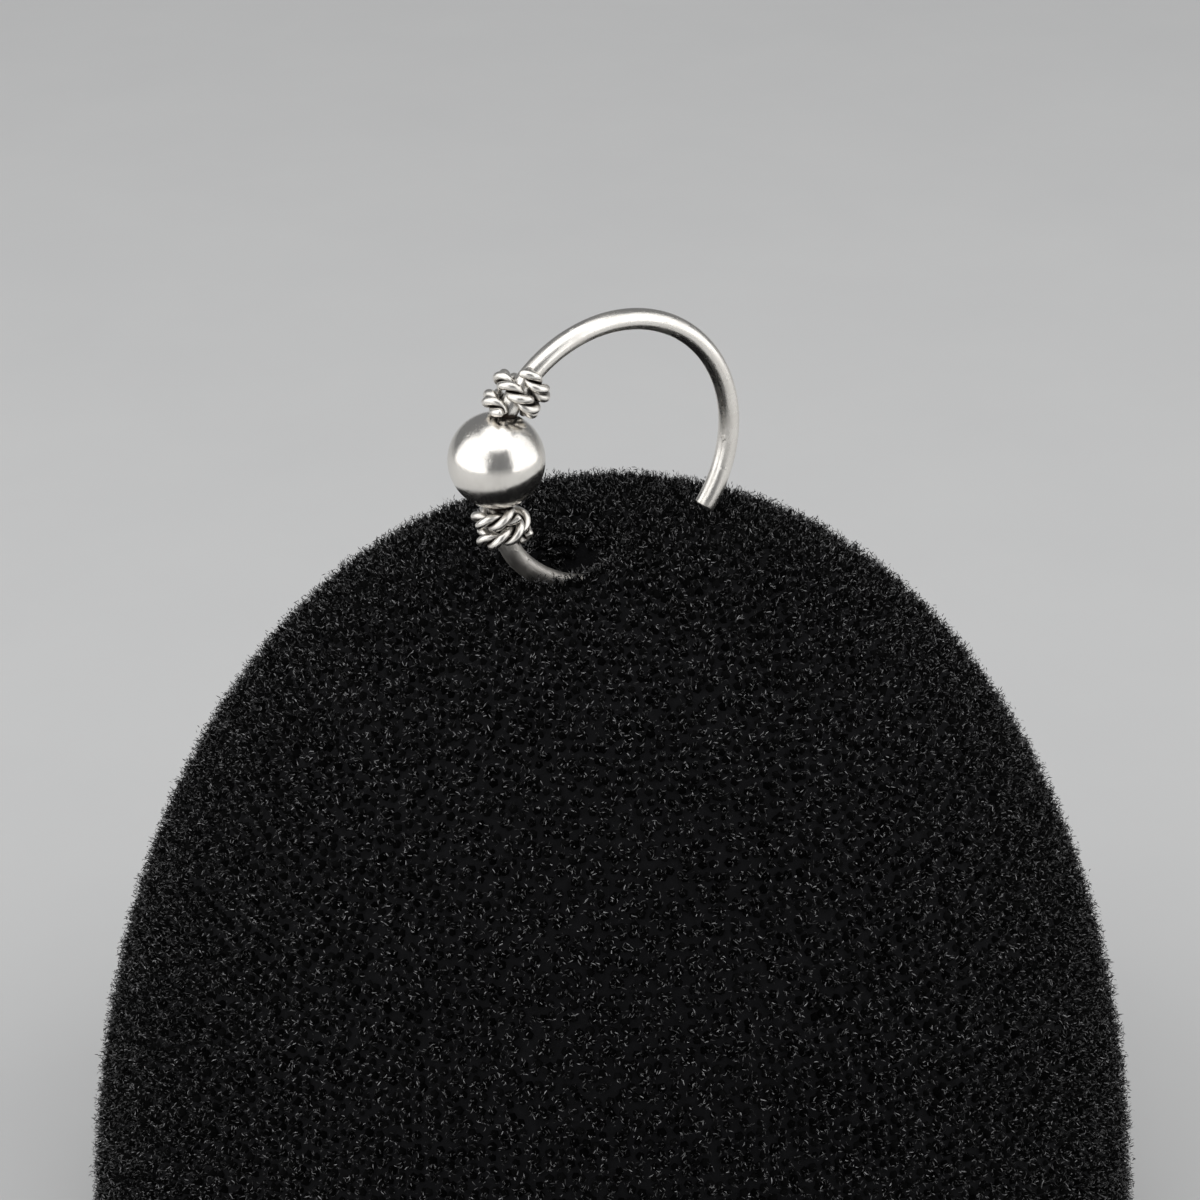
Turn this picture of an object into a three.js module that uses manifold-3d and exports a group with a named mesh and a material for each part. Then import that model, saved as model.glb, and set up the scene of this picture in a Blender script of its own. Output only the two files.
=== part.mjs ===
// A nose ring pushed by one end into the top of a small velvet-covered display dome.
// Millimetres, +Z up. The origin is the middle of the dome's flat base. The hoop stands
// upright in a plane parallel to X and Z: its bead is on the -X side, its free tip on +X.

import * as THREE from "three";
import { mergeVertices } from "three/addons/utils/BufferGeometryUtils.js";
import Module from "manifold-3d";

// Hoop: round wire bent to an open ring. Angles run from +X towards +Z.
const WIRE_DIAMETER = 0.8;
const HOOP_INSIDE_DIAMETER = 9.8;
const FREE_TIP_ANGLE = -37.7; // the end that is seen, just touching the velvet
const BURIED_TIP_ANGLE = 302; // the end that is pushed into the dome

// The hoop is flattened where the bead and the ropes sit, so the wire runs nearly straight there.
const FLAT_INSET = 0.3;
const FLAT_MIDDLE_ANGLE = 183;
const FLAT_HALF_ANGLE = 38;

// Bead: a ball drilled for the wire.
const BEAD_DIAMETER = 3.6;
const BEAD_ANGLE = 169.4;
const BEAD_HOLE_CLEARANCE = 0.03;

// Ropes: two thin strands twisted together, then wound round the wire above and below the bead.
// Each rope starts against the bead. Its winding there is in degrees from the side of the hoop's
// centre, and its first strand's twist in degrees from straight away from the wire. The strands
// twist left-handed, with a lay that lets one turn of rope nest in the next, and hand is 1 for a
// rope wound left-handed round the wire and -1 for right-handed.
const STRAND_DIAMETER = 0.33;
const STRAND_GAP = 0.02; // between the two strands, and between a rope and what it lies on
const ROPE_TURN_SPACING = 0.75;
const ROPES = [
  { name: "upper_rope", side: -1, hand: -1, turns: 2.05, lay: 1.275, windingStart: 228, twistStart: 156 },
  { name: "lower_rope", side: 1, hand: 1, turns: 1.95, lay: 1.46, windingStart: 296, twistStart: 166 },
];

// Stand: a dome of revolution on a flat base, its flank a rounded curve set by two exponents.
const STAND_HEIGHT = 35;
const STAND_DIAMETER = 44;
const STAND_FLANK_POWER = 2.23;
const STAND_CROWN_POWER = 2.15;

// Where the hoop stands on the dome, and the dent that its pushed-in end makes there.
const HOOP_CENTRE_X = -0.7;
const HOOP_CENTRE_Y = -0.95;
const HOOP_CENTRE_ABOVE_CROWN = 3.05;
const DENT_DEPTH = 1.9;
const DENT_LENGTH = 1.6;
const DENT_WIDTH = 1;
const DENT_ANGLE = 250; // the place on the hoop that the dent lies round
const WIRE_CHANNEL_CLEARANCE = 0.05;

// Fineness of the faceted surfaces.
const WIRE_SIDES = 14;
const WIRE_STEPS = 96;
const STRAND_SIDES = 8;
const STRAND_STEPS_PER_TURN = 35;
const BEAD_SEGMENTS = 16;
const STRAND_LENGTH_SAMPLES = 1200; // points that even out the steps along a strand
const SEAT_STEP = 0.01; // a rope is moved out by this much at a time until it clears the bead
const SEAT_PLACES = 96; // steps of a rope's first turn that are held against the bead
const STAND_SEGMENTS = 56;
const STAND_RINGS = 30;
const STAND_RING_CROWDING = 1.6; // over 1 puts more of the rings near the crown
const FRAME_ANGLE_STEP = 1e-3; // half the angle, in radians, that a direction is taken over
const SAME_POINT_DISTANCE = 1e-4; // corners closer than this are one

// Sizes that follow from the ones above.
const wireRadius = WIRE_DIAMETER / 2;
const hoopRadius = (HOOP_INSIDE_DIAMETER + WIRE_DIAMETER) / 2;
const strandRadius = STRAND_DIAMETER / 2;
const strandOffset = strandRadius + STRAND_GAP / 2;
const ropeRadius = strandOffset + strandRadius;
const ropeWindingRadius = wireRadius + STRAND_GAP + ropeRadius;
const ropeTurnLength = Math.hypot(2 * Math.PI * ropeWindingRadius, ROPE_TURN_SPACING);
const beadRadius = BEAD_DIAMETER / 2;
const standRadius = STAND_DIAMETER / 2;
const hoopCentre = new THREE.Vector3(
  HOOP_CENTRE_X,
  HOOP_CENTRE_Y,
  STAND_HEIGHT + HOOP_CENTRE_ABOVE_CROWN,
);
const radians = THREE.MathUtils.degToRad;
const across = new THREE.Vector3(0, 1, 0); // square to the hoop's plane

const silver = { color: 0xd6d2ca, metalness: 1 };
const materials = {
  wire: new THREE.MeshStandardMaterial({ ...silver, roughness: 0.2 }),
  bead: new THREE.MeshStandardMaterial({ ...silver, roughness: 0.12 }),
  rope: new THREE.MeshStandardMaterial({ ...silver, roughness: 0.25 }),
  velvet: new THREE.MeshStandardMaterial({ color: 0x0b0b0c, metalness: 0, roughness: 1 }),
};

const wasm = await Module();
wasm.setup();

// Distance of the wire's centreline from the hoop's centre at an angle in radians.
function centrelineRadius(angle) {
  const share = (angle - radians(FLAT_MIDDLE_ANGLE)) / radians(FLAT_HALF_ANGLE);
  if (Math.abs(share) >= 1) return hoopRadius;
  return hoopRadius - FLAT_INSET * Math.cos((Math.PI / 2) * share) ** 2;
}

// The wire's centreline between two angles, about the hoop's own centre.
class HoopLine extends THREE.Curve {
  constructor(fromAngle, toAngle) {
    super();
    this.from = fromAngle;
    this.to = toAngle;
  }

  getPoint(t, target = new THREE.Vector3()) {
    const angle = THREE.MathUtils.lerp(this.from, this.to, t);
    const radius = centrelineRadius(angle);
    return target.set(radius * Math.cos(angle), 0, radius * Math.sin(angle));
  }
}

// Point, direction along the wire and direction to the hoop's centre at an angle of the hoop.
function hoopFrame(angle) {
  const line = new HoopLine(angle - FRAME_ANGLE_STEP, angle + FRAME_ANGLE_STEP);
  const along = line.getPoint(1).sub(line.getPoint(0)).normalize();
  return { point: line.getPoint(0.5), along, inward: along.clone().cross(across) };
}

// The middle of a rope after some turns from its end by the bead, which lies a given distance
// along the wire from the bead's middle, with the directions away from the wire and beside it.
function ropeMiddle(rope, endDistance, turns) {
  const distance = endDistance + turns * ROPE_TURN_SPACING;
  const angle = radians(BEAD_ANGLE) + (rope.side * distance) / hoopRadius;
  const { point, along, inward } = hoopFrame(angle);
  const winding = radians(rope.windingStart) - rope.hand * rope.side * 2 * Math.PI * turns;
  const away = inward.clone().multiplyScalar(Math.cos(winding));
  away.addScaledVector(across, Math.sin(winding));
  const round = inward.multiplyScalar(Math.sin(winding));
  round.addScaledVector(across, -Math.cos(winding));
  const direction = round.multiplyScalar(rope.hand * 2 * Math.PI * ropeWindingRadius);
  direction.addScaledVector(along, ROPE_TURN_SPACING).normalize();
  return {
    middle: point.addScaledVector(away, ropeWindingRadius),
    away,
    beside: direction.cross(away),
  };
}

// The middle of one strand, 0 or 1, of a rope there: it turns about the rope's own middle.
function strandMiddle(rope, strand, endDistance, turns) {
  const { middle, away, beside } = ropeMiddle(rope, endDistance, turns);
  const twists = (turns * ropeTurnLength) / rope.lay;
  const twist = radians(rope.twistStart) + strand * Math.PI - rope.side * 2 * Math.PI * twists;
  return middle
    .addScaledVector(away, strandOffset * Math.cos(twist))
    .addScaledVector(beside, strandOffset * Math.sin(twist));
}

// How far along the wire from the bead's middle a rope's end lies when its first turn just
// clears the bead.
function ropeEndDistance(rope) {
  const bead = hoopFrame(radians(BEAD_ANGLE)).point;
  const clear = beadRadius + STRAND_GAP + strandRadius;
  const firstTurn = Array.from({ length: SEAT_PLACES + 1 }, (_, i) => i / SEAT_PLACES);
  const strandClears = (strand, distance) =>
    firstTurn.every((turns) => strandMiddle(rope, strand, distance, turns).distanceTo(bead) > clear);
  const clears = (distance) => strandClears(0, distance) && strandClears(1, distance);
  let distance = beadRadius;
  while (!clears(distance)) distance += SEAT_STEP;
  return distance;
}

// One strand of a rope over all its turns.
class RopeStrandLine extends THREE.Curve {
  constructor(rope, endDistance, strand) {
    super();
    this.arcLengthDivisions = STRAND_LENGTH_SAMPLES;
    this.rope = rope;
    this.endDistance = endDistance;
    this.strand = strand;
  }

  getPoint(t, target = new THREE.Vector3()) {
    const { rope, strand, endDistance } = this;
    return target.copy(strandMiddle(rope, strand, endDistance, t * rope.turns));
  }
}

// A round bar of even thickness along a curve, closed by flat ends.
function bar(line, radius, sides, steps) {
  const section = new THREE.Shape();
  for (let i = 0; i < sides; i++) {
    const a = (2 * Math.PI * i) / sides;
    section[i ? "lineTo" : "moveTo"](radius * Math.cos(a), radius * Math.sin(a));
  }
  section.closePath();
  return new THREE.ExtrudeGeometry(section, { steps, extrudePath: line, curveSegments: 1 });
}

// A closed geometry as a solid that can be cut and joined.
function solidOf(geometry) {
  const bare = geometry.clone();
  bare.deleteAttribute("normal");
  bare.deleteAttribute("uv");
  const merged = mergeVertices(bare, SAME_POINT_DISTANCE);
  return new wasm.Manifold(
    new wasm.Mesh({
      numProp: 3,
      vertProperties: merged.attributes.position.array,
      triVerts: new Uint32Array(merged.index.array),
    }),
  );
}

// A solid back as a geometry with flat-shaded faces.
function geometryOf(solid) {
  const mesh = solid.getMesh();
  const geometry = new THREE.BufferGeometry();
  geometry.setAttribute("position", new THREE.BufferAttribute(mesh.vertProperties, 3));
  geometry.setIndex(new THREE.BufferAttribute(mesh.triVerts, 1));
  const flat = geometry.toNonIndexed();
  flat.computeVertexNormals();
  return flat;
}

function hoopWireGeometry() {
  const line = new HoopLine(radians(FREE_TIP_ANGLE), radians(BURIED_TIP_ANGLE));
  return bar(line, wireRadius, WIRE_SIDES, WIRE_STEPS);
}

// The bead about the hoop's centre, so that its hole can be cut by the wire's own line.
function beadGeometry() {
  const { point, along } = hoopFrame(radians(BEAD_ANGLE));
  const ball = new THREE.SphereGeometry(beadRadius, BEAD_SEGMENTS, BEAD_SEGMENTS / 2);
  ball.applyQuaternion(new THREE.Quaternion().setFromUnitVectors(across, along));
  ball.translate(point.x, point.y, point.z);
  const reach = BEAD_DIAMETER / hoopRadius;
  const hole = new HoopLine(radians(BEAD_ANGLE) - reach, radians(BEAD_ANGLE) + reach);
  const drill = bar(hole, wireRadius + BEAD_HOLE_CLEARANCE, WIRE_SIDES, BEAD_SEGMENTS);
  return geometryOf(solidOf(ball).subtract(solidOf(drill)));
}

// How far the dome's surface lies from its axis at a depth under the crown.
function standRadiusAt(depth) {
  const left = 1 - (1 - depth / STAND_HEIGHT) ** STAND_CROWN_POWER;
  return standRadius * left ** (1 / STAND_FLANK_POWER);
}

// How deep the dent is at a place on the dome.
function dentDepth(x, y) {
  const { point } = hoopFrame(radians(DENT_ANGLE));
  const alongShare = (x - hoopCentre.x - point.x) / DENT_LENGTH;
  const acrossShare = (y - hoopCentre.y) / DENT_WIDTH;
  return DENT_DEPTH * Math.exp(-(alongShare ** 2) - acrossShare ** 2);
}

// The dome, dented, with the hoop's own path cut into it.
function standGeometry() {
  const profile = [new THREE.Vector2(0, 0)];
  for (let i = STAND_RINGS; i > 0; i--) {
    const depth = STAND_HEIGHT * (i / STAND_RINGS) ** (STAND_RING_CROWDING * STAND_FLANK_POWER);
    profile.push(new THREE.Vector2(standRadiusAt(depth), STAND_HEIGHT - depth));
  }
  profile.push(new THREE.Vector2(0, STAND_HEIGHT));
  const dome = new THREE.LatheGeometry(profile, STAND_SEGMENTS).rotateX(Math.PI / 2);
  const places = dome.attributes.position;
  for (let i = 0; i < places.count; i++) {
    const z = places.getZ(i);
    const dented = z > 0 ? z - dentDepth(places.getX(i), places.getY(i)) : z;
    places.setZ(i, dented);
  }
  const spare = WIRE_CHANNEL_CLEARANCE / hoopRadius;
  const path = new HoopLine(radians(FREE_TIP_ANGLE) - spare, radians(BURIED_TIP_ANGLE) + spare);
  const channelRadius = wireRadius + WIRE_CHANNEL_CLEARANCE;
  const channel = bar(path, channelRadius, WIRE_SIDES, WIRE_STEPS);
  channel.translate(hoopCentre.x, hoopCentre.y, hoopCentre.z);
  return geometryOf(solidOf(dome).subtract(solidOf(channel)));
}

function piece(name, geometry, material) {
  const mesh = new THREE.Mesh(geometry, material);
  mesh.name = name;
  return mesh;
}

const ring = new THREE.Group();
ring.position.copy(hoopCentre);
ring.add(piece("hoop_wire", hoopWireGeometry(), materials.wire));
ring.add(piece("ball_bead", beadGeometry(), materials.bead));
for (const rope of ROPES) {
  const endDistance = ropeEndDistance(rope);
  for (const strand of [0, 1]) {
    const steps = Math.round(STRAND_STEPS_PER_TURN * rope.turns);
    const line = new RopeStrandLine(rope, endDistance, strand);
    const geometry = bar(line, strandRadius, STRAND_SIDES, steps);
    ring.add(piece(`${rope.name}_strand_${strand + 1}`, geometry, materials.rope));
  }
}

const object = new THREE.Group();
object.add(ring, piece("display_stand", standGeometry(), materials.velvet));

export default object;
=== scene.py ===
import math

import bpy
import numpy as np
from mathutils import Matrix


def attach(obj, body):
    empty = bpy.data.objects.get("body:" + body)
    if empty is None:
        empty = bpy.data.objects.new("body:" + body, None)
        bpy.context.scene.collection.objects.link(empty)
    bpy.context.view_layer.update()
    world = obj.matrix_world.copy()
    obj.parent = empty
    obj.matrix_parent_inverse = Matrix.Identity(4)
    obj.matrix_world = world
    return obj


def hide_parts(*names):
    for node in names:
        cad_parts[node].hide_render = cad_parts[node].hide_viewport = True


# A silver nose ring pushed by one end into a velvet-covered dome: finishes, pile, light and camera.
# Metres, +Z up. The origin is the middle of the dome's flat base.

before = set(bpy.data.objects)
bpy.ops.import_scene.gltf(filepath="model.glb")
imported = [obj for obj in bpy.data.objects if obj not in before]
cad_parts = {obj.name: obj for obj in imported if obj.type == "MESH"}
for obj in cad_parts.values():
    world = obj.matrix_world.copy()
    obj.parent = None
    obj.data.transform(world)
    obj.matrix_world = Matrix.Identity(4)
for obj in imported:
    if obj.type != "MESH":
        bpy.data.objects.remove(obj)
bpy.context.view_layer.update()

MM = 0.001
ACROSS = np.array([0.0, 1.0, 0.0])  # square to the hoop's plane
UP = np.array([0.0, 0.0, 1.0])

# Hoop: angles run from +X towards +Z.
WIRE_RADIUS = 0.4 * MM
HOOP_RADIUS = 5.3 * MM
FREE_TIP_ANGLE = math.radians(-37.7)
BURIED_TIP_ANGLE = math.radians(302)
FLAT_INSET = 0.3 * MM
FLAT_MIDDLE_ANGLE = math.radians(183)
FLAT_HALF_ANGLE = math.radians(38)
TIP_FILLET = 0.09 * MM
WIRE_DULL_ANGLE = math.radians(40)  # past the bead the wire turns dull over this angle
WIRE_DULL = 0.65
WIRE_ROPE_RECESS = 0.22 * MM  # how near to a rope, and next to the ball, the wire is blackened with painted shade and oxide
WIRE_BALL_RECESS = 0.3 * MM
WIRE_SIDES = 40
WIRE_STEPS = 320

# Bead.
BEAD_RADIUS = 1.8 * MM
BEAD_ANGLE = math.radians(169.4)
BEAD_HOLE_RADIUS = WIRE_RADIUS + 0.01 * MM
BEAD_LIP = 0.025 * MM  # rounding of the hole's edge
BEAD_SIDES = 96
BEAD_RINGS = 64
BEAD_BORE_RINGS = 9
BEAD_HOLE_BLEND = 0.4  # radians from the hole over which the ball's rings turn true
BEAD_WIRE_REACH = 0.6  # radians of the hoop on each side of the bead's middle
BEAD_WIRE_PLACES = 241
# how near to a rope, and to the wire, the ball is blackened with painted shade and oxide
BEAD_ROPE_RECESS = 0.12 * MM
BEAD_WIRE_RECESS = 0.08 * MM

# Ropes: two strands twisted together, left-handed, and wound round the wire on both sides of the
# bead. Hand is 1 for a rope wound left-handed and -1 for right-handed. The winding starts in
# degrees from the side of the hoop's centre, and the twist from straight away from the wire.
STRAND_RADIUS = 0.165 * MM
STRAND_GAP = 0.02 * MM
ROPE_TURN_SPACING = 0.75 * MM
ROPES = [
    dict(name="upper_rope", side=-1, hand=-1, turns=2.05, lay=1.275 * MM,
         winding_start=228, twist_start=156),
    dict(name="lower_rope", side=1, hand=1, turns=1.95, lay=1.46 * MM,
         winding_start=296, twist_start=166),
]
STRAND_OFFSET = STRAND_RADIUS + STRAND_GAP / 2
ROPE_RADIUS = STRAND_OFFSET + STRAND_RADIUS
ROPE_WINDING_RADIUS = WIRE_RADIUS + STRAND_GAP + ROPE_RADIUS
ROPE_TURN_LENGTH = math.hypot(2 * np.pi * ROPE_WINDING_RADIUS, ROPE_TURN_SPACING)
STRAND_FILLET = 0.11 * MM
STRAND_SIDES = 20
STRAND_STEPS_PER_TURN = 90
SEAT_STEP = 0.01 * MM
SEAT_PLACES = 96
SAME_STRETCH = 0.9 * MM  # a strand's own points nearer than this along it aren't its next turn
# how near to another strand, its own next turn, the wire or the ball a strand is blackened with painted
# shade and oxide
ROPE_RECESS = 0.19 * MM
ROPE_DULL = 0.2
ROPE_WIRE_ANGLES = (math.radians(120), math.radians(225))  # the wire that the ropes lie on
ROPE_WIRE_PLACES = 260

# Stand.
STAND_HEIGHT = 35 * MM
STAND_RADIUS = 22 * MM
STAND_FLANK_POWER = 2.23
STAND_CROWN_POWER = 2.15
HOOP_CENTRE = np.array([-0.7 * MM, -0.95 * MM, STAND_HEIGHT + 3.05 * MM])
DENT_DEPTH = 1.9 * MM
DENT_LENGTH = 1.6 * MM
DENT_WIDTH = 1.0 * MM
DENT_ANGLE = math.radians(250)

# Velvet: small pointed tufts in slanting rows on a thin dark ground, with curls of fibre on each.
PILE_HEIGHT = 0.5 * MM
TUFT_SPACING = 0.41 * MM
TUFT_RADIUS = 0.19 * MM
TUFT_SIDES = 5
TUFT_TOP = 0.12 * MM  # how far a tuft's own tip lies under the dome's surface
CURLS_PER_TUFT = 7
CURL_STEP = 0.1 * MM
CURL_WIDTH = 0.034 * MM
CURL_SPREAD = 0.09 * MM
ROW_SHIFT = 0.38  # each row of tufts starts this share of a spacing further round
DENT_EDGE = 0.12 * MM  # deeper than this the cloth is stretched, and has more tufts
EXTRA_TUFTS = 2
EXTRA_TUFT_SPREAD = 0.3 * MM
TUFT_SHIFT = 0.14  # a tuft's random shift, in spacings
TUFT_LEAN = 0.045 * MM
TUFT_DROP = 0.08 * MM  # the most that a tuft's tip is lower than the highest ones
TUFT_FROM_WIRE = 0.06 * MM
CURL_FROM_WIRE = 0.01 * MM
LOWEST_TUFT = 0.3 * MM
LOWEST_FIBRE = 0.02 * MM
CURL_SHADE_POWER = 5  # most curls are dark, and a few are light: partly paler fibres, partly painted glints
PILE_PIECES = 4
GROUND_SIDES = 220
GROUND_RINGS = 120
PROFILE_PLACES = 4001
PROFILE_CROWDING = 1.3  # over 1 puts more of the profile's places near the crown
PILE_SEED = 11

# Board under the dome.
BOARD_THICKNESS = 0.9 * MM
BOARD_EDGE = 0.25 * MM
BOARD_EDGE_MIDDLE = 0.3  # the share of the edge at which its corner is cut

# Camera: its place from the hoop's centre, and its turn from looking along +Y.
CAMERA_FROM_HOOP = np.array([-58.29, -91.70, 48.76]) * MM
CAMERA_TURN = math.radians(-32.21)
CAMERA_DOWN = math.radians(26.81)
CAMERA_LENS = 95.25
CAMERA_SENSOR = 36
CAMERA_NEAREST = 0.001

# Light: upright panels, with their turn from the camera's own direction, their distance and
# height from the hoop, their width and height, and their power. A wide sun lights from above.
SOFTBOXES = [
    dict(name="left_softbox", turn=math.radians(-64), distance=0.17, height=0.12,
         size=(0.32, 0.3), power=0.36),
    dict(name="right_softbox", turn=math.radians(76), distance=0.17, height=0.11,
         size=(0.27, 0.28), power=0.28),
]
OVERHEAD_WIDTH = math.radians(70)
OVERHEAD_TILT = math.radians(12)
OVERHEAD_STRENGTH = 1.3
ROOM_COLOUR = (0.95, 0.97, 1.0, 1)
ROOM_STRENGTH = 0.2
FLOOR_HALF_WIDTH = 2.0
FLOOR_DROP = 0.01 * MM

FRAME_ANGLE_STEP = 1e-3  # half the angle, in radians, that a direction is taken over
GAP_CHUNK = 4000
FADE_POWER = 1.5
FILLET_STEPS = 6


def unit(v):
    return v / np.linalg.norm(v, axis=-1, keepdims=True)


def hoop_line(angle):
    """Points of the wire's middle line at angles in radians."""
    share = np.clip((angle - FLAT_MIDDLE_ANGLE) / FLAT_HALF_ANGLE, -1, 1)
    radius = HOOP_RADIUS - FLAT_INSET * np.cos(np.pi / 2 * share) ** 2
    flat = np.zeros_like(angle)
    return HOOP_CENTRE + np.stack([radius * np.cos(angle), flat, radius * np.sin(angle)], axis=-1)


def hoop_frame(angle):
    """Points, directions along the wire and directions to the hoop's centre at angles of the hoop."""
    angle = np.atleast_1d(np.asarray(angle, float))
    along = unit(hoop_line(angle + FRAME_ANGLE_STEP) - hoop_line(angle - FRAME_ANGLE_STEP))
    return hoop_line(angle), along, np.cross(along, ACROSS)


BEAD_CENTRE = hoop_frame(BEAD_ANGLE)[0][0]
BEAD_AXIS = hoop_frame(BEAD_ANGLE)[1][0]


def rope_middle(rope, end_distance, turns):
    """The middle of a rope at numbers of turns from its end by the bead, with the directions
    away from the wire and beside it."""
    distance = end_distance + turns * ROPE_TURN_SPACING
    point, along, inward = hoop_frame(BEAD_ANGLE + rope["side"] * distance / HOOP_RADIUS)
    winding = math.radians(rope["winding_start"]) - rope["hand"] * rope["side"] * 2 * np.pi * turns
    cos, sin = np.cos(winding)[:, None], np.sin(winding)[:, None]
    away = cos * inward + sin * ACROSS
    round_wire = rope["hand"] * (sin * inward - cos * ACROSS)
    direction = unit(round_wire * 2 * np.pi * ROPE_WINDING_RADIUS + along * ROPE_TURN_SPACING)
    return point + away * ROPE_WINDING_RADIUS, away, np.cross(direction, away)


def strand_middle(rope, strand, end_distance, turns):
    """The middle of one strand of a rope there, with the directions outward in its rope."""
    middle, away, beside = rope_middle(rope, end_distance, turns)
    first = math.radians(rope["twist_start"]) + strand * np.pi
    twist = (first - rope["side"] * 2 * np.pi * turns * ROPE_TURN_LENGTH / rope["lay"])[:, None]
    outward = np.cos(twist) * away + np.sin(twist) * beside
    return middle + STRAND_OFFSET * outward, outward


def rope_end_distance(rope):
    """How far along the wire from the bead's middle a rope's end lies when it clears the bead."""
    clear = BEAD_RADIUS + STRAND_GAP + STRAND_RADIUS
    first_turn = np.linspace(0, 1, SEAT_PLACES + 1)
    distance = BEAD_RADIUS
    while True:
        lines = [strand_middle(rope, strand, distance, first_turn)[0] for strand in (0, 1)]
        if min(np.linalg.norm(line - BEAD_CENTRE, axis=1).min() for line in lines) > clear:
            return distance
        distance += SEAT_STEP


def strand_line(rope, strand):
    """Points of a strand's middle line short of its rounded ends, and the directions outward."""
    steps = round(STRAND_STEPS_PER_TURN * rope["turns"])
    inset = STRAND_FILLET / ROPE_TURN_LENGTH
    turns = np.linspace(inset, rope["turns"] - inset, steps + 1)
    return strand_middle(rope, strand, rope_end_distance(rope), turns)


def rounded_ends(line, across_a, across_b, radius, fillet, steps=FILLET_STEPS):
    """Adds rings of shrinking radius past both ends of a line, so that its bar ends in a fillet."""
    turn = np.linspace(0, np.pi / 2, steps + 1)[1:]
    shrink = radius - fillet + fillet * np.cos(turn)
    first, last = unit(line[0] - line[1]), unit(line[-1] - line[-2])
    start = line[0] + np.outer(fillet * np.sin(turn), first)
    end = line[-1] + np.outer(fillet * np.sin(turn), last)
    line = np.concatenate([start[::-1], line, end])
    radii = np.concatenate([shrink[::-1], np.full(len(line) - 2 * steps, radius), shrink])
    pad = ((steps, steps), (0, 0))
    return line, np.pad(across_a, pad, mode="edge"), np.pad(across_b, pad, mode="edge"), radii


def bar(line, across_a, across_b, radii, sides):
    """A round bar along a line: its points, faces, distance along it and place round it."""
    turn = np.linspace(0, 2 * np.pi, sides, endpoint=False)
    cos, sin = np.cos(turn)[None, :, None], np.sin(turn)[None, :, None]
    rings = line[:, None] + radii[:, None, None] * (cos * across_a[:, None] + sin * across_b[:, None])
    points = np.concatenate([rings.reshape(-1, 3), line[:1], line[-1:]])
    count = len(line)
    here = np.arange(sides)
    after = (here + 1) % sides
    base = (np.arange(count - 1) * sides)[:, None]
    quads = np.stack([base + here, base + after, base + sides + after, base + sides + here], axis=-1)
    start, end = count * sides, count * sides + 1
    caps = [[start, b, a] for a, b in zip(here, after)]
    caps += [[end, (count - 1) * sides + a, (count - 1) * sides + b] for a, b in zip(here, after)]
    length = np.concatenate([[0], np.cumsum(np.linalg.norm(np.diff(line, axis=0), axis=1))])
    along = np.concatenate([np.repeat(length, sides), length[:1], length[-1:]])
    around = np.concatenate([np.tile(turn, count), [0, 0]])
    return points, quads.reshape(-1, 4).tolist() + caps, along, around


def new_piece(name, points, faces, material, slot, smooth=True, **fields):
    """A mesh object that rides on the body. Each field holds a value for each point."""
    mesh = bpy.data.meshes.new(name)
    mesh.from_pydata(points.tolist(), [], faces)
    mesh.polygons.foreach_set("use_smooth", [smooth] * len(mesh.polygons))
    for field, values in fields.items():
        kind = "FLOAT" if values.ndim == 1 else "FLOAT_VECTOR"
        key = "value" if values.ndim == 1 else "vector"
        attribute = mesh.attributes.new(field, kind, "POINT")
        attribute.data.foreach_set(key, values.astype(np.float32).ravel())
    mesh.materials.append(material)
    piece = bpy.data.objects.new(name, mesh)
    bpy.context.scene.collection.objects.link(piece)
    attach(piece, "root")
    return piece


def gap_to(points, line, radius, along=None, line_along=None):
    """Distances from points to a bar's surface. With distances along it, its own near stretch is
    skipped."""
    gaps = np.empty(len(points))
    for start in range(0, len(points), GAP_CHUNK):
        part = slice(start, start + GAP_CHUNK)
        away = np.linalg.norm(points[part, None] - line[None], axis=2)
        if along is not None:
            away[np.abs(along[part, None] - line_along[None]) < SAME_STRETCH] = 1
        gaps[part] = away.min(axis=1) - radius
    return gaps


def darkness(gap, reach):
    """1 where surfaces touch and the painted shade and oxide stay full, 0 from a gap of the given reach
    on.
    """
    return np.clip(1 - gap / reach, 0, 1) ** FADE_POWER


def unrolled(along, around, radius):
    """A place in a space where the bar runs straight, for marks that follow it."""
    return np.stack([radius * np.cos(around), radius * np.sin(around), along], axis=-1)


def add_node(tree, kind, **settings):
    node = tree.nodes.new(kind)
    for key, value in settings.items():
        setattr(node, key, value)
    return node


def link(tree, source, target):
    tree.links.new(source, target)


def noise(tree, place, scale, detail=4.0, roughness=0.6):
    node = add_node(tree, "ShaderNodeTexNoise")
    node.inputs["Scale"].default_value = scale
    node.inputs["Detail"].default_value = detail
    node.inputs["Roughness"].default_value = roughness
    link(tree, place, node.inputs["Vector"])
    return node.outputs["Fac"]


def stretched(tree, place, scale):
    node = add_node(tree, "ShaderNodeMapping")
    node.inputs["Scale"].default_value = scale
    link(tree, place, node.inputs["Vector"])
    return node.outputs["Vector"]


def remap(tree, value, low, high, to_low, to_high):
    node = add_node(tree, "ShaderNodeMapRange")
    limits = {"From Min": low, "From Max": high, "To Min": to_low, "To Max": to_high}
    for key, number in limits.items():
        node.inputs[key].default_value = number
    link(tree, value, node.inputs["Value"])
    return node.outputs["Result"]


def combine(tree, how, first, second):
    node = add_node(tree, "ShaderNodeMath", operation=how, use_clamp=False)
    for index, value in enumerate((first, second)):
        if isinstance(value, (int, float)):
            node.inputs[index].default_value = value
        else:
            link(tree, value, node.inputs[index])
    return node.outputs["Value"]


def blend_colours(tree, factor, first, second):
    node = add_node(tree, "ShaderNodeMix", data_type="RGBA")
    link(tree, factor, node.inputs["Factor"])
    for index, value in ((6, first), (7, second)):
        if isinstance(value, tuple):
            node.inputs[index].default_value = (*value, 1)
        else:
            link(tree, value, node.inputs[index])
    return node.outputs[2]


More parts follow.
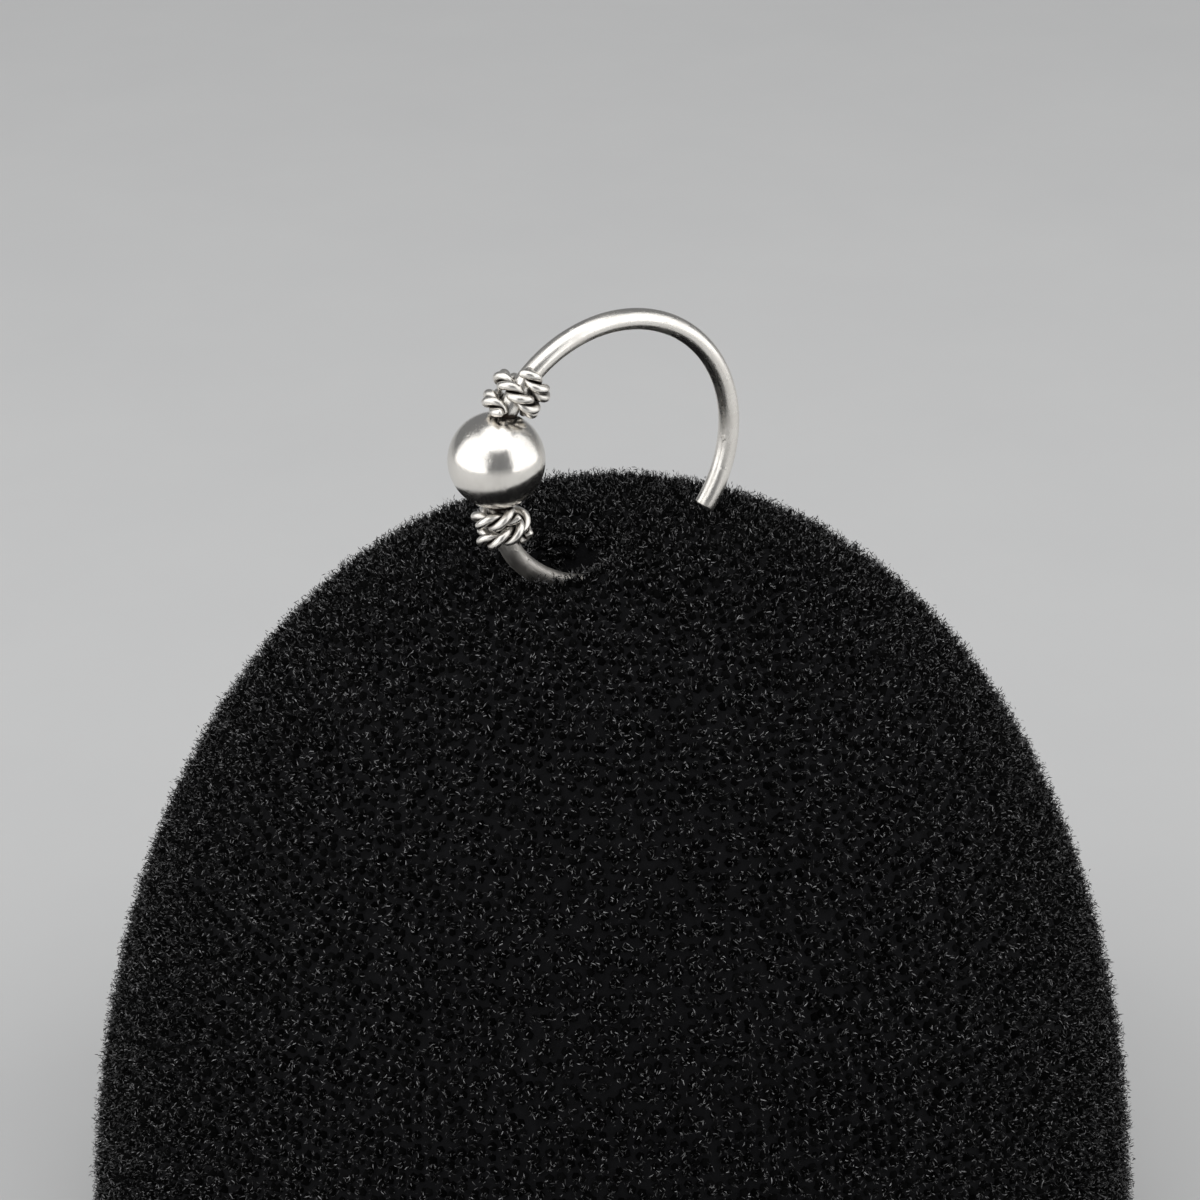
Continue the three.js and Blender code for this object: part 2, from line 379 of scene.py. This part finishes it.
def field(tree, name, output):
    return add_node(tree, "ShaderNodeAttribute", attribute_name=name).outputs[output]


def new_material(name):
    material = bpy.data.materials.new(name)
    material.use_nodes = True
    return material, material.node_tree, material.node_tree.nodes["Principled BSDF"]


SILVER = (0.88, 0.85, 0.80)
WORN_SILVER = (0.66, 0.625, 0.58)
# Near-black of the painted shade and oxide where parts lie close together.
SHADE_AND_OXIDE = (0.04, 0.03, 0.024)
DULL_ROUGHNESS = 0.3
STREAK_ROUGHNESS = 0.14
SHADE_AND_OXIDE_ROUGHNESS = 0.3
NICK_DEPTH = 0.8  # in depths of a scratch
SCRATCH_DEPTH = 0.02 * MM
TUFT_DARK = (0.0005, 0.0005, 0.0005)
TUFT_LIGHT = (0.004, 0.004, 0.004)
# Curl colours: the light end is partly paler fibre and partly a painted glint.
CURL_DARK = (0.002, 0.002, 0.002)
CURL_PALE_AND_GLINT = (0.26, 0.257, 0.26)
GROUND_DARK = (0.002, 0.002, 0.002)
GROUND_LIGHT = (0.008, 0.008, 0.009)
KNIT_DEPTH = 0.1 * MM
BOARD_DARK = (0.012, 0.012, 0.012)
BOARD_LIGHT = (0.03, 0.029, 0.028)
FLOOR_DARK = (0.58, 0.58, 0.58)
FLOOR_LIGHT = (0.62, 0.62, 0.615)


def silver_material(name, gloss, scratch, wear):
    """Polished silver: cloudy polish, scratches that run along it, black where parts lie close together
    (part oxide in the recesses, part painted shade between the parts), and a duller skin where the field
    called dull is above 0."""
    material, tree, shader = new_material(name)
    place = field(tree, "unrolled", "Vector")
    recess = field(tree, "recess", "Fac")
    dull = field(tree, "dull", "Fac")
    cloud = noise(tree, place, 900, 5)
    streaks = noise(tree, stretched(tree, place, (9000, 9000, 700)), 1.0, 6, 0.7)
    nicks = noise(tree, stretched(tree, place, (2600, 2600, 1900)), 1.0, 3)
    worn = remap(tree, cloud, 0.42, 0.72, 0, wear)
    patchy = combine(tree, "MULTIPLY", dull, remap(tree, cloud, 0.3, 0.7, 0.5, 1.1))
    worn = combine(tree, "ADD", worn, patchy)
    bright = blend_colours(tree, worn, SILVER, WORN_SILVER)
    # Painted shade and oxide between close parts: the silver is blackened and roughened there, with a
    # ragged edge.
    ragged = combine(tree, "ADD", recess, remap(tree, streaks, 0.3, 0.7, -0.14, 0.14))
    black = remap(tree, ragged, 0.14, 0.5, 0, 1)
    link(tree, blend_colours(tree, black, bright, SHADE_AND_OXIDE), shader.inputs["Base Color"])
    shader.inputs["Metallic"].default_value = 1
    rough = combine(tree, "ADD", remap(tree, streaks, 0.3, 0.75, gloss, gloss + STREAK_ROUGHNESS),
                    combine(tree, "MULTIPLY", worn, DULL_ROUGHNESS))
    rough = combine(tree, "ADD", rough, remap(tree, black, 0, 1, 0, SHADE_AND_OXIDE_ROUGHNESS))
    link(tree, rough, shader.inputs["Roughness"])
    pits = combine(tree, "MULTIPLY", remap(tree, nicks, 0.62, 0.7, 0, 1), -NICK_DEPTH)
    dents = combine(tree, "ADD", streaks, pits)
    bump = add_node(tree, "ShaderNodeBump")
    bump.inputs["Strength"].default_value = scratch
    bump.inputs["Distance"].default_value = SCRATCH_DEPTH
    link(tree, dents, bump.inputs["Height"])
    link(tree, bump.outputs["Normal"], shader.inputs["Normal"])
    return material


def velvet_material(name, dark, light, roughness, gloss):
    """Black fibre: each one has a shade of its own."""
    material, tree, shader = new_material(name)
    shade = field(tree, "shade", "Fac")
    link(tree, blend_colours(tree, shade, dark, light), shader.inputs["Base Color"])
    shader.inputs["Roughness"].default_value = roughness
    shader.inputs["Specular IOR Level"].default_value = gloss
    return material


def ground_material():
    """The cloth under the pile: near black, with a fine knit."""
    material, tree, shader = new_material("velvet_ground")
    place = add_node(tree, "ShaderNodeTexCoord").outputs["Object"]
    knit = noise(tree, place, 2600, 3)
    link(tree, blend_colours(tree, knit, GROUND_DARK, GROUND_LIGHT), shader.inputs["Base Color"])
    shader.inputs["Roughness"].default_value = 0.95
    shader.inputs["Specular IOR Level"].default_value = 0.1
    bump = add_node(tree, "ShaderNodeBump")
    bump.inputs["Strength"].default_value = 0.8
    bump.inputs["Distance"].default_value = KNIT_DEPTH
    link(tree, knit, bump.inputs["Height"])
    link(tree, bump.outputs["Normal"], shader.inputs["Normal"])
    return material


def board_material():
    """The board that closes the dome below: black card with a fine tooth."""
    material, tree, shader = new_material("base_board")
    place = add_node(tree, "ShaderNodeTexCoord").outputs["Object"]
    tooth = noise(tree, place, 1800, 5)
    link(tree, blend_colours(tree, tooth, BOARD_DARK, BOARD_LIGHT), shader.inputs["Base Color"])
    link(tree, remap(tree, tooth, 0.3, 0.7, 0.6, 0.85), shader.inputs["Roughness"])
    return material


STRANDS = [(rope, strand, *strand_line(rope, strand)) for rope in ROPES for strand in (0, 1)]


def make_wire():
    inset = TIP_FILLET / HOOP_RADIUS
    angles = np.linspace(FREE_TIP_ANGLE + inset, BURIED_TIP_ANGLE - inset, WIRE_STEPS + 1)
    line, _, inward = hoop_frame(angles)
    beside = np.tile(ACROSS, (len(angles), 1))
    line, inward, beside, radii = rounded_ends(line, inward, beside, WIRE_RADIUS, TIP_FILLET)
    points, faces, along, around = bar(line, inward, beside, radii, WIRE_SIDES)
    # Painted shade and oxide where the wire lies close to a rope or to the ball.
    gap = np.min([gap_to(points, strand[2], STRAND_RADIUS) for strand in STRANDS], axis=0)
    bead_gap = np.linalg.norm(points - BEAD_CENTRE, axis=1) - BEAD_RADIUS
    by_ball = darkness(np.abs(bead_gap), WIRE_BALL_RECESS)
    recess = np.maximum(darkness(gap, WIRE_ROPE_RECESS), by_ball)
    turn = np.arctan2(points[:, 2] - HOOP_CENTRE[2], points[:, 0] - HOOP_CENTRE[0]) % (2 * np.pi)
    past_bead = np.where(turn > FREE_TIP_ANGLE % (2 * np.pi), 0, turn - BEAD_ANGLE)
    dull = WIRE_DULL * np.clip(past_bead / WIRE_DULL_ANGLE, 0, 1)
    place = unrolled(along, around, WIRE_RADIUS)
    material = silver_material("silver_wire", 0.16, 0.45, 0.5)
    piece = new_piece("silver_hoop", points, faces, material, "silver_wire",
                      unrolled=place, recess=recess, dull=dull)
    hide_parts("hoop_wire")


WIRE_IN_BEAD = hoop_line(BEAD_ANGLE + np.linspace(-BEAD_WIRE_REACH, BEAD_WIRE_REACH, BEAD_WIRE_PLACES))


def wire_shift(height):
    """How far the wire has bent away from the bead's axis at heights along it."""
    line = WIRE_IN_BEAD - BEAD_CENTRE
    return np.interp(height, line @ BEAD_AXIS, line @ np.cross(BEAD_AXIS, ACROSS))


def make_bead():
    hole_angle = math.asin(BEAD_HOLE_RADIUS / BEAD_RADIUS)
    lip_angle = hole_angle + BEAD_LIP / BEAD_RADIUS
    polar = np.linspace(lip_angle, math.pi - lip_angle, BEAD_RINGS)
    from_hole = np.minimum(polar, math.pi - polar) - lip_angle
    follow = np.clip(1 - from_hole / BEAD_HOLE_BLEND, 0, 1) ** 2
    outside = np.stack([BEAD_RADIUS * np.cos(polar), BEAD_RADIUS * np.sin(polar)], axis=1)
    half_hole = BEAD_RADIUS * math.cos(hole_angle) - BEAD_LIP
    height = np.linspace(-half_hole, half_hole, BEAD_BORE_RINGS)
    bore = np.stack([height, np.full_like(height, BEAD_HOLE_RADIUS)], axis=1)
    profile = np.concatenate([outside, bore])
    shift = wire_shift(profile[:, 0]) * np.concatenate([follow, np.ones(BEAD_BORE_RINGS)])
    turn = np.linspace(0, 2 * np.pi, BEAD_SIDES, endpoint=False)
    side_a = np.cross(BEAD_AXIS, ACROSS)
    ring = np.cos(turn)[:, None] * side_a + np.sin(turn)[:, None] * ACROSS
    points = profile[:, 0, None, None] * BEAD_AXIS + profile[:, 1, None, None] * ring[None]
    points = points + shift[:, None, None] * side_a
    points[:BEAD_RINGS] = BEAD_RADIUS * unit(points[:BEAD_RINGS])
    count = len(profile)
    here = np.arange(BEAD_SIDES)
    after = (here + 1) % BEAD_SIDES
    rows = [(i, (i + 1) % count) for i in range(count)]
    faces = [[i * BEAD_SIDES + a, i * BEAD_SIDES + b, j * BEAD_SIDES + b, j * BEAD_SIDES + a]
             for i, j in rows for a, b in zip(here, after)]
    points = BEAD_CENTRE + points.reshape(-1, 3)
    # Painted shade and oxide where the ball lies close to a rope or to the wire.
    gap = np.min([gap_to(points, strand[2], STRAND_RADIUS) for strand in STRANDS], axis=0)
    by_wire = darkness(gap_to(points, WIRE_IN_BEAD, WIRE_RADIUS), BEAD_WIRE_RECESS)
    recess = np.maximum(darkness(gap, BEAD_ROPE_RECESS), by_wire)
    material = silver_material("silver_bead", 0.1, 0.24, 0.45)
    piece = new_piece("silver_ball", points, faces, material, "silver_bead",
                      unrolled=points - BEAD_CENTRE, recess=recess, dull=np.zeros(len(points)))
    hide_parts("ball_bead")


def make_ropes():
    material = silver_material("silver_rope", 0.16, 0.4, 0.45)
    for index, (rope, strand, line, outward) in enumerate(STRANDS):
        tangent = unit(np.gradient(line, axis=0))
        side_a = unit(outward - (outward * tangent).sum(1, keepdims=True) * tangent)
        side_b = np.cross(tangent, side_a)
        ends, side_a, side_b, radii = rounded_ends(line, side_a, side_b, STRAND_RADIUS, STRAND_FILLET)
        points, faces, along, around = bar(ends, side_a, side_b, radii, STRAND_SIDES)
        line_along = np.concatenate([[0], np.cumsum(np.linalg.norm(np.diff(line, axis=0), axis=1))])
        # Painted shade and oxide where a strand lies close to its next turn, the other strands, the wire
        # or the ball.
        gaps = [gap_to(points, line, STRAND_RADIUS, along, line_along)]
        others = [other[2] for i, other in enumerate(STRANDS) if i != index]
        gaps += [gap_to(points, other, STRAND_RADIUS) for other in others]
        wire = hoop_line(np.linspace(*ROPE_WIRE_ANGLES, ROPE_WIRE_PLACES))
        gaps.append(gap_to(points, wire, WIRE_RADIUS))
        gaps.append(np.linalg.norm(points - BEAD_CENTRE, axis=1) - BEAD_RADIUS)
        recess = darkness(np.min(gaps, axis=0), ROPE_RECESS)
        name = f"{rope['name']}_strand_{strand + 1}"
        piece = new_piece(f"silver_{name}", points, faces, material, "silver_rope",
                          unrolled=unrolled(along, around, STRAND_RADIUS), recess=recess,
                          dull=np.full(len(points), ROPE_DULL))
        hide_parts(name)


def dome_profile():
    """Radius, height and outward direction of the dome, against the distance from its crown."""
    share = np.linspace(0, 1, PROFILE_PLACES)
    depth = STAND_HEIGHT * share ** (PROFILE_CROWDING * STAND_FLANK_POWER)
    left = 1 - (1 - depth / STAND_HEIGHT) ** STAND_CROWN_POWER
    radius = STAND_RADIUS * left ** (1 / STAND_FLANK_POWER)
    arc = np.concatenate([[0], np.cumsum(np.hypot(np.diff(radius), np.diff(depth)))])
    outward = unit(np.stack([np.gradient(depth, arc), np.gradient(radius, arc)], axis=1))
    return arc, radius, STAND_HEIGHT - depth, outward


ARC, ARC_RADIUS, ARC_HEIGHT, ARC_OUTWARD = dome_profile()


def dent_depth(point):
    """How deep the dent is at points of the dome."""
    middle = hoop_line(np.array([DENT_ANGLE]))[0]
    x, y = point[..., 0] - middle[0], point[..., 1] - middle[1]
    return DENT_DEPTH * np.exp(-((x / DENT_LENGTH) ** 2) - (y / DENT_WIDTH) ** 2)


def on_dome(arc, turn):
    """Points and outward directions on the dented dome, at distances from its crown and turns
    round it."""
    radial = np.stack([np.cos(turn), np.sin(turn), np.zeros_like(turn)], axis=-1)
    radius = np.interp(arc, ARC, ARC_RADIUS)[..., None]
    height = np.interp(arc, ARC, ARC_HEIGHT)[..., None]
    slope = np.interp(arc, ARC, ARC_OUTWARD[:, 0])[..., None]
    rise = np.interp(arc, ARC, ARC_OUTWARD[:, 1])[..., None]
    point = radial * radius + UP * height
    outward = radial * slope + UP * rise
    middle = hoop_line(np.array([DENT_ANGLE]))[0]
    x, y = point[..., 0] - middle[0], point[..., 1] - middle[1]
    dent = dent_depth(point)
    point[..., 2] -= dent
    tilt = np.stack([-2 * x / DENT_LENGTH**2 * dent, -2 * y / DENT_WIDTH**2 * dent, 0 * x], axis=-1)
    return point, unit(outward + rise * tilt)


def make_ground():
    """The cloth under the pile, as deep below the dome's surface as the pile is high."""
    arc = ARC[-1] * (np.arange(1, GROUND_RINGS + 1) / GROUND_RINGS)
    turn = np.linspace(0, 2 * np.pi, GROUND_SIDES, endpoint=False)
    arc_grid, turn_grid = np.meshgrid(arc, turn, indexing="ij")
    point, outward = on_dome(arc_grid, turn_grid)
    crown, crown_out = on_dome(np.zeros(1), np.zeros(1))
    points = (point - PILE_HEIGHT * outward).reshape(-1, 3)
    points = np.concatenate([points, crown - PILE_HEIGHT * crown_out])
    points[:, 2] = np.maximum(points[:, 2], 0)
    here = np.arange(GROUND_SIDES)
    after = (here + 1) % GROUND_SIDES
    base = (np.arange(GROUND_RINGS - 1) * GROUND_SIDES)[:, None]
    below = base + GROUND_SIDES
    quads = np.stack([base + here, below + here, below + after, base + after], axis=-1)
    top = len(points) - 1
    faces = quads.reshape(-1, 4).tolist() + [[top, a, b] for a, b in zip(here, after)]
    piece = new_piece("velvet_ground", points, faces, ground_material(), "velvet")
    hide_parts("display_stand")


def make_board():
    """The flat board that the dome stands on, with a small rounded edge."""
    radius = STAND_RADIUS - PILE_HEIGHT
    edge = BOARD_EDGE
    cut = edge * BOARD_EDGE_MIDDLE
    turn = np.linspace(0, 2 * np.pi, GROUND_SIDES, endpoint=False)
    profile = [(radius - edge, 0), (radius - cut, cut), (radius, edge), (radius, BOARD_THICKNESS)]
    rings = [np.stack([r * np.cos(turn), r * np.sin(turn), np.full_like(turn, z)], axis=1)
             for r, z in profile]
    points = np.concatenate(rings + [np.array([[0, 0, 0], [0, 0, BOARD_THICKNESS]])])
    here = np.arange(GROUND_SIDES)
    after = (here + 1) % GROUND_SIDES
    faces = []
    for ring in range(len(profile) - 1):
        low, high = ring * GROUND_SIDES, (ring + 1) * GROUND_SIDES
        faces += [[low + a, low + b, high + b, high + a] for a, b in zip(here, after)]
    bottom, top = len(points) - 2, len(points) - 1
    last = (len(profile) - 1) * GROUND_SIDES
    faces += [[bottom, b, a] for a, b in zip(here, after)]
    faces += [[top, last + a, last + b] for a, b in zip(here, after)]
    new_piece("base_board", points, faces, board_material(), "velvet", smooth=False)


def tuft_places():
    """Distance from the crown and turn of every tuft, row by row."""
    arcs, turns = [], []
    for row in range(int(ARC[-1] / TUFT_SPACING)):
        arc = (row + 0.5) * TUFT_SPACING
        count = max(3, round(2 * np.pi * np.interp(arc, ARC, ARC_RADIUS) / TUFT_SPACING))
        turns.append(2 * np.pi * (np.arange(count) + row * ROW_SHIFT) / count)
        arcs.append(np.full(count, arc))
    return np.concatenate(arcs), np.concatenate(turns) % (2 * np.pi)


def off_the_wire(points, spare):
    """True for points that lie outside the wire with some room to spare."""
    from_centre = points - HOOP_CENTRE
    angle = np.arctan2(from_centre[..., 2], from_centre[..., 0]) % (2 * np.pi)
    angle = np.where(angle > FREE_TIP_ANGLE % (2 * np.pi), angle - 2 * np.pi, angle)
    nearest = hoop_line(np.clip(angle, FREE_TIP_ANGLE, BURIED_TIP_ANGLE))
    return np.linalg.norm(points - nearest, axis=-1) > WIRE_RADIUS + spare


def tuft_bodies(random, top, outward):
    """Pointed tufts with their tips near the dome's surface: points and faces."""
    side_a = unit(np.cross(outward, random.normal(0, 1, top.shape)))
    side_b = np.cross(outward, side_a)
    turn = np.linspace(0, 2 * np.pi, TUFT_SIDES, endpoint=False)[None, :, None]
    foot = top - (PILE_HEIGHT - TUFT_TOP) * outward
    ring = foot[:, None] + TUFT_RADIUS * (np.cos(turn) * side_a[:, None] + np.sin(turn) * side_b[:, None])
    points = np.concatenate([ring, top[:, None]], axis=1)
    here = np.arange(TUFT_SIDES)
    fan = np.stack([here, (here + 1) % TUFT_SIDES, np.full(TUFT_SIDES, TUFT_SIDES)], axis=1)
    faces = (np.arange(len(top)) * (TUFT_SIDES + 1))[:, None, None] + fan
    return points, faces.reshape(-1, 3).tolist()


def curls(random, top, outward):
    """Short bent fibres round the tufts' tips: points and faces."""
    start = top + random.normal(0, 1, top.shape) * CURL_SPREAD - outward * CURL_SPREAD * 0.5
    axis = unit(random.normal(0, 1, top.shape))
    first = unit(np.cross(axis, random.normal(0, 1, top.shape)) + 0.6 * outward)
    axis = unit(axis - (axis * first).sum(1, keepdims=True) * first)
    across = np.cross(axis, first)
    bend = random.uniform(0.5, 1.5, len(top))[:, None]
    length = CURL_STEP * random.uniform(0.7, 1.25, len(top))[:, None]
    middle = start + length * first
    end = middle + length * (np.cos(bend) * first + np.sin(bend) * across)
    half = axis * CURL_WIDTH / 2
    points = [start - half * 0.7, start + half * 0.7, middle + half, middle - half, end]
    base = (np.arange(len(top)) * len(points))[:, None]
    faces = (base + [0, 1, 2, 3]).tolist() + (base + [3, 2, 4]).tolist()
    return np.stack(points, axis=1), faces


def make_pile():
    random = np.random.default_rng(PILE_SEED)
    arc, turn = tuft_places()
    sunk = dent_depth(on_dome(arc, turn)[0]) > DENT_EDGE
    apart = random.normal(0, EXTRA_TUFT_SPREAD, EXTRA_TUFTS * sunk.sum())
    arc = np.concatenate([arc, np.repeat(arc[sunk], EXTRA_TUFTS) + apart])
    turn = np.concatenate([turn, np.repeat(turn[sunk], EXTRA_TUFTS)])
    arc = arc + random.normal(0, TUFT_SHIFT, len(arc)) * TUFT_SPACING
    row_radius = np.maximum(np.interp(arc, ARC, ARC_RADIUS), MM)
    turn = turn + random.normal(0, TUFT_SHIFT, len(arc)) * TUFT_SPACING / row_radius
    body_material = velvet_material("velvet_tufts", TUFT_DARK, TUFT_LIGHT, 0.9, 0.03)
    curl_material = velvet_material("velvet_curls", CURL_DARK, CURL_PALE_AND_GLINT, 0.4, 0.4)
    surface, outward = on_dome(np.clip(arc, 0, ARC[-1]), turn)
    lean = random.normal(0, TUFT_LEAN, surface.shape)
    top = surface - (TUFT_TOP + random.uniform(0, TUFT_DROP, len(arc)))[:, None] * outward + lean
    clear = off_the_wire(top, TUFT_FROM_WIRE) & (top[:, 2] > LOWEST_TUFT)
    outward, top, turn = outward[clear], top[clear], turn[clear]
    points, faces = tuft_bodies(random, top, outward)
    points[..., 2] = np.maximum(points[..., 2], LOWEST_FIBRE)
    shade = np.repeat(random.random(len(top)), TUFT_SIDES + 1)
    new_piece("velvet_tufts", points.reshape(-1, 3), faces, body_material, "velvet", shade=shade)
    for index in range(PILE_PIECES):
        inside = (turn % (2 * np.pi)) * PILE_PIECES // (2 * np.pi) == index
        own = (np.repeat(v[inside], CURLS_PER_TUFT, axis=0) for v in (top, outward))
        points, faces = curls(random, *own)
        # Most curls are dark; the few lightest are partly paler fibres and partly painted glints.
        shade = random.random(len(points)) ** CURL_SHADE_POWER
        buried = ~off_the_wire(points, CURL_FROM_WIRE).all(axis=1)
        points[buried] = points[buried].mean(axis=1, keepdims=True) - [0, 0, PILE_HEIGHT]
        points[..., 2] = np.maximum(points[..., 2], LOWEST_FIBRE)
        new_piece(f"velvet_curls_{index + 1}", points.reshape(-1, 3), faces, curl_material, "velvet",
                  smooth=False, shade=np.repeat(shade, points.shape[1]))


def make_floor():
    material, tree, shader = new_material("floor")
    place = add_node(tree, "ShaderNodeTexCoord").outputs["Object"]
    paper = noise(tree, place, 60, 4)
    link(tree, blend_colours(tree, paper, FLOOR_DARK, FLOOR_LIGHT), shader.inputs["Base Color"])
    shader.inputs["Roughness"].default_value = 0.8
    half = FLOOR_HALF_WIDTH
    mesh = bpy.data.meshes.new("floor")
    corners = [(-half, -half, 0), (half, -half, 0), (half, half, 0), (-half, half, 0)]
    mesh.from_pydata(corners, [], [(0, 1, 2, 3)])
    mesh.materials.append(material)
    floor = bpy.data.objects.new("floor", mesh)
    floor.location.z = -FLOOR_DROP
    bpy.context.scene.collection.objects.link(floor)


def add_softbox(name, turn, distance, height, size, power):
    """An upright soft light that faces the hoop."""
    azimuth = CAMERA_TURN - math.pi / 2 + turn
    light = bpy.data.lights.new(name, "AREA")
    light.shape = "RECTANGLE"
    light.size, light.size_y = size
    light.energy = power
    lamp = bpy.data.objects.new(name, light)
    level = np.array([math.cos(azimuth), math.sin(azimuth), 0])
    lamp.location = HOOP_CENTRE + distance * level + height * UP
    lamp.rotation_euler = (math.pi / 2, 0, azimuth + math.pi / 2)
    lamp.visible_camera = False
    bpy.context.scene.collection.objects.link(lamp)


def make_lights():
    for softbox in SOFTBOXES:
        add_softbox(**softbox)
    overhead = bpy.data.lights.new("overhead", "SUN")
    overhead.angle = OVERHEAD_WIDTH
    overhead.energy = OVERHEAD_STRENGTH
    lamp = bpy.data.objects.new("overhead", overhead)
    lamp.rotation_euler = (OVERHEAD_TILT, 0, CAMERA_TURN)
    bpy.context.scene.collection.objects.link(lamp)
    world = bpy.data.worlds.new("studio")
    world.use_nodes = True
    background = world.node_tree.nodes["Background"]
    background.inputs["Color"].default_value = ROOM_COLOUR
    background.inputs["Strength"].default_value = ROOM_STRENGTH
    bpy.context.scene.world = world
    bpy.context.scene.view_settings.view_transform = "Standard"


def make_camera():
    data = bpy.data.cameras.new("camera")
    data.lens = CAMERA_LENS
    data.sensor_width = CAMERA_SENSOR
    data.clip_start = CAMERA_NEAREST
    camera = bpy.data.objects.new("camera", data)
    camera.location = HOOP_CENTRE + CAMERA_FROM_HOOP
    camera.rotation_euler = (math.pi / 2 - CAMERA_DOWN, 0, CAMERA_TURN)
    bpy.context.scene.collection.objects.link(camera)
    bpy.context.scene.camera = camera


make_camera()
make_wire()
make_bead()
make_ropes()
make_ground()
make_board()
make_pile()
make_floor()
make_lights()
